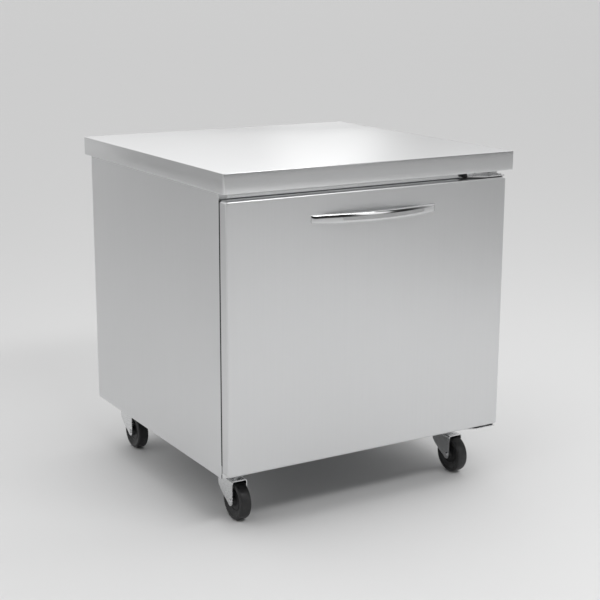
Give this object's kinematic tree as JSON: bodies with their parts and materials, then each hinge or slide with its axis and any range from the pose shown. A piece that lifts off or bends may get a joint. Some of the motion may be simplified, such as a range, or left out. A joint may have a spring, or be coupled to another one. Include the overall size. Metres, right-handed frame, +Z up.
{
  "type": "undercounter refrigerator",
  "caption": "Stainless steel undercounter refrigerator on swivel casters with a flat work top and a full-height hinged door with a bow handle.",
  "frame": {"origin": "on the floor under the middle of the whole object's box", "axes": "+Z up, the door faces -Y, +X to the right of someone who stands in front of the door"},
  "size_m": [0.813, 0.824, 0.856],
  "materials": {
    "stainless": "fine satin brushed stainless steel sheet",
    "galvanised": "dull galvanised sheet",
    "chrome": "bright chrome plate",
    "zinc": "bright zinc plated pressed steel",
    "aluminium": "mill finish sheet",
    "copper": "drawn copper tube, slightly dulled",
    "black_paint": "black stove enamel",
    "black_plastic": "moulded black plastic",
    "grey_plastic": "moulded grey plastic",
    "white_plastic": "white formed plastic sheet",
    "rubber": "soft black rubber",
    "foam": "foamed in place insulation",
    "timber": "plain board core",
    "epoxy_wire": "coated steel wire"
  },
  "bodies": {
    "cabinet": {"worktop": "stainless", "worktop_core": "timber", "left_side_panel": "stainless", "right_side_panel": "stainless", "base_plate": "galvanised", "top_panel": "galvanised", "face_frame": "stainless", "front_sill": "stainless", "inner_liner": "aluminium", "insulation": "foam", "rear_cover": "galvanised", "power_inlet": "black_plastic", "top_hinge_bracket": "zinc", "top_hinge_pin": "zinc", "bottom_hinge_bracket": "zinc", "bottom_hinge_pin": "zinc", "hinge_stop_block": "black_plastic", "evaporator_cover": "aluminium", "evaporator_coil": "aluminium", "evaporator_fan_motor": "black_paint", "condenser_coil": "aluminium", "condenser_shroud": "black_paint", "condenser_fan_motor": "black_paint", "compressor": "black_paint", "compressor_base": "galvanised", "condensate_pan": "black_plastic", "control_box": "grey_plastic", "suction_line": "copper", "filter_drier": "copper", "liquid_line": "copper", "discharge_line": "copper", "drain_tube": "white_plastic", "pilaster_front_left": "aluminium", "pilaster_front_right": "aluminium", "pilaster_rear_left": "aluminium", "pilaster_rear_right": "aluminium", "caster_plate_front_left": "zinc", "caster_plate_front_right": "zinc", "caster_plate_rear_left": "zinc", "caster_plate_rear_right": "zinc"},
    "door": {"door_outer_panel": "stainless", "door_insulation": "foam", "door_liner": "white_plastic", "door_gasket": "rubber", "door_handle": "chrome", "top_hinge_bushing": "black_plastic", "bottom_hinge_bushing": "black_plastic"},
    "upper_shelf": {"upper_shelf": "epoxy_wire"},
    "lower_shelf": {"lower_shelf": "epoxy_wire"},
    "evaporator_fan": {"evaporator_fan_blade": "grey_plastic"},
    "condenser_fan": {"condenser_fan_blade": "aluminium"},
    "thermostat": {"thermostat_knob": "black_plastic"},
    "swivel_front_left": {"caster_fork_front_left": "zinc"},
    "wheel_front_left": {"caster_wheel_front_left": "rubber"},
    "swivel_front_right": {"caster_fork_front_right": "zinc"},
    "wheel_front_right": {"caster_wheel_front_right": "rubber"},
    "swivel_rear_left": {"caster_fork_rear_left": "zinc"},
    "wheel_rear_left": {"caster_wheel_rear_left": "rubber"},
    "swivel_rear_right": {"caster_fork_rear_right": "zinc"},
    "wheel_rear_right": {"caster_wheel_rear_right": "rubber"}
  },
  "joints": [
    {"name": "door_hinge", "type": "hinge", "parent": "cabinet", "child": "door", "pos_m": [0.3825, -0.36175, 0], "axis": [0, 0, 1], "range_deg": [0, 110], "stiffness_Nm_per_rad": 0.8, "springref_deg": -17.19},
    {"name": "upper_shelf_lift", "type": "slide", "parent": "cabinet", "child": "upper_shelf", "axis": [0, 0, 1], "range_m": [0, 0.03]},
    {"name": "lower_shelf_lift", "type": "slide", "parent": "cabinet", "child": "lower_shelf", "axis": [0, 0, 1], "range_m": [0, 0.03]},
    {"name": "evaporator_fan_spin", "type": "hinge", "parent": "cabinet", "child": "evaporator_fan", "pos_m": [0.13, 0.08, 0.642], "axis": [0, 1, 0], "continuous": true},
    {"name": "condenser_fan_spin", "type": "hinge", "parent": "cabinet", "child": "condenser_fan", "pos_m": [-0.2, 0.31, 0.316], "axis": [0, 1, 0], "continuous": true},
    {"name": "thermostat_turn", "type": "hinge", "parent": "cabinet", "child": "thermostat", "pos_m": [-0.215, 0.06, 0.642], "axis": [0, 1, 0], "range_deg": [-135, 135]},
    {"name": "caster_swivel_front_left", "type": "hinge", "parent": "cabinet", "child": "swivel_front_left", "pos_m": [-0.323, -0.2534, 0], "axis": [0, 0, 1], "continuous": true},
    {"name": "caster_roll_front_left", "type": "hinge", "parent": "swivel_front_left", "child": "wheel_front_left", "pos_m": [-0.323, -0.2854, 0.048], "axis": [1, 0, 0], "continuous": true},
    {"name": "caster_swivel_front_right", "type": "hinge", "parent": "cabinet", "child": "swivel_front_right", "pos_m": [0.323, -0.2534, 0], "axis": [0, 0, 1], "continuous": true},
    {"name": "caster_roll_front_right", "type": "hinge", "parent": "swivel_front_right", "child": "wheel_front_right", "pos_m": [0.323, -0.2854, 0.048], "axis": [1, 0, 0], "continuous": true},
    {"name": "caster_swivel_rear_left", "type": "hinge", "parent": "cabinet", "child": "swivel_rear_left", "pos_m": [-0.323, 0.335, 0], "axis": [0, 0, 1], "continuous": true},
    {"name": "caster_roll_rear_left", "type": "hinge", "parent": "swivel_rear_left", "child": "wheel_rear_left", "pos_m": [-0.323, 0.303, 0.048], "axis": [1, 0, 0], "continuous": true},
    {"name": "caster_swivel_rear_right", "type": "hinge", "parent": "cabinet", "child": "swivel_rear_right", "pos_m": [0.323, 0.335, 0], "axis": [0, 0, 1], "continuous": true},
    {"name": "caster_roll_rear_right", "type": "hinge", "parent": "swivel_rear_right", "child": "wheel_rear_right", "pos_m": [0.323, 0.303, 0.048], "axis": [1, 0, 0], "continuous": true}
  ]
}
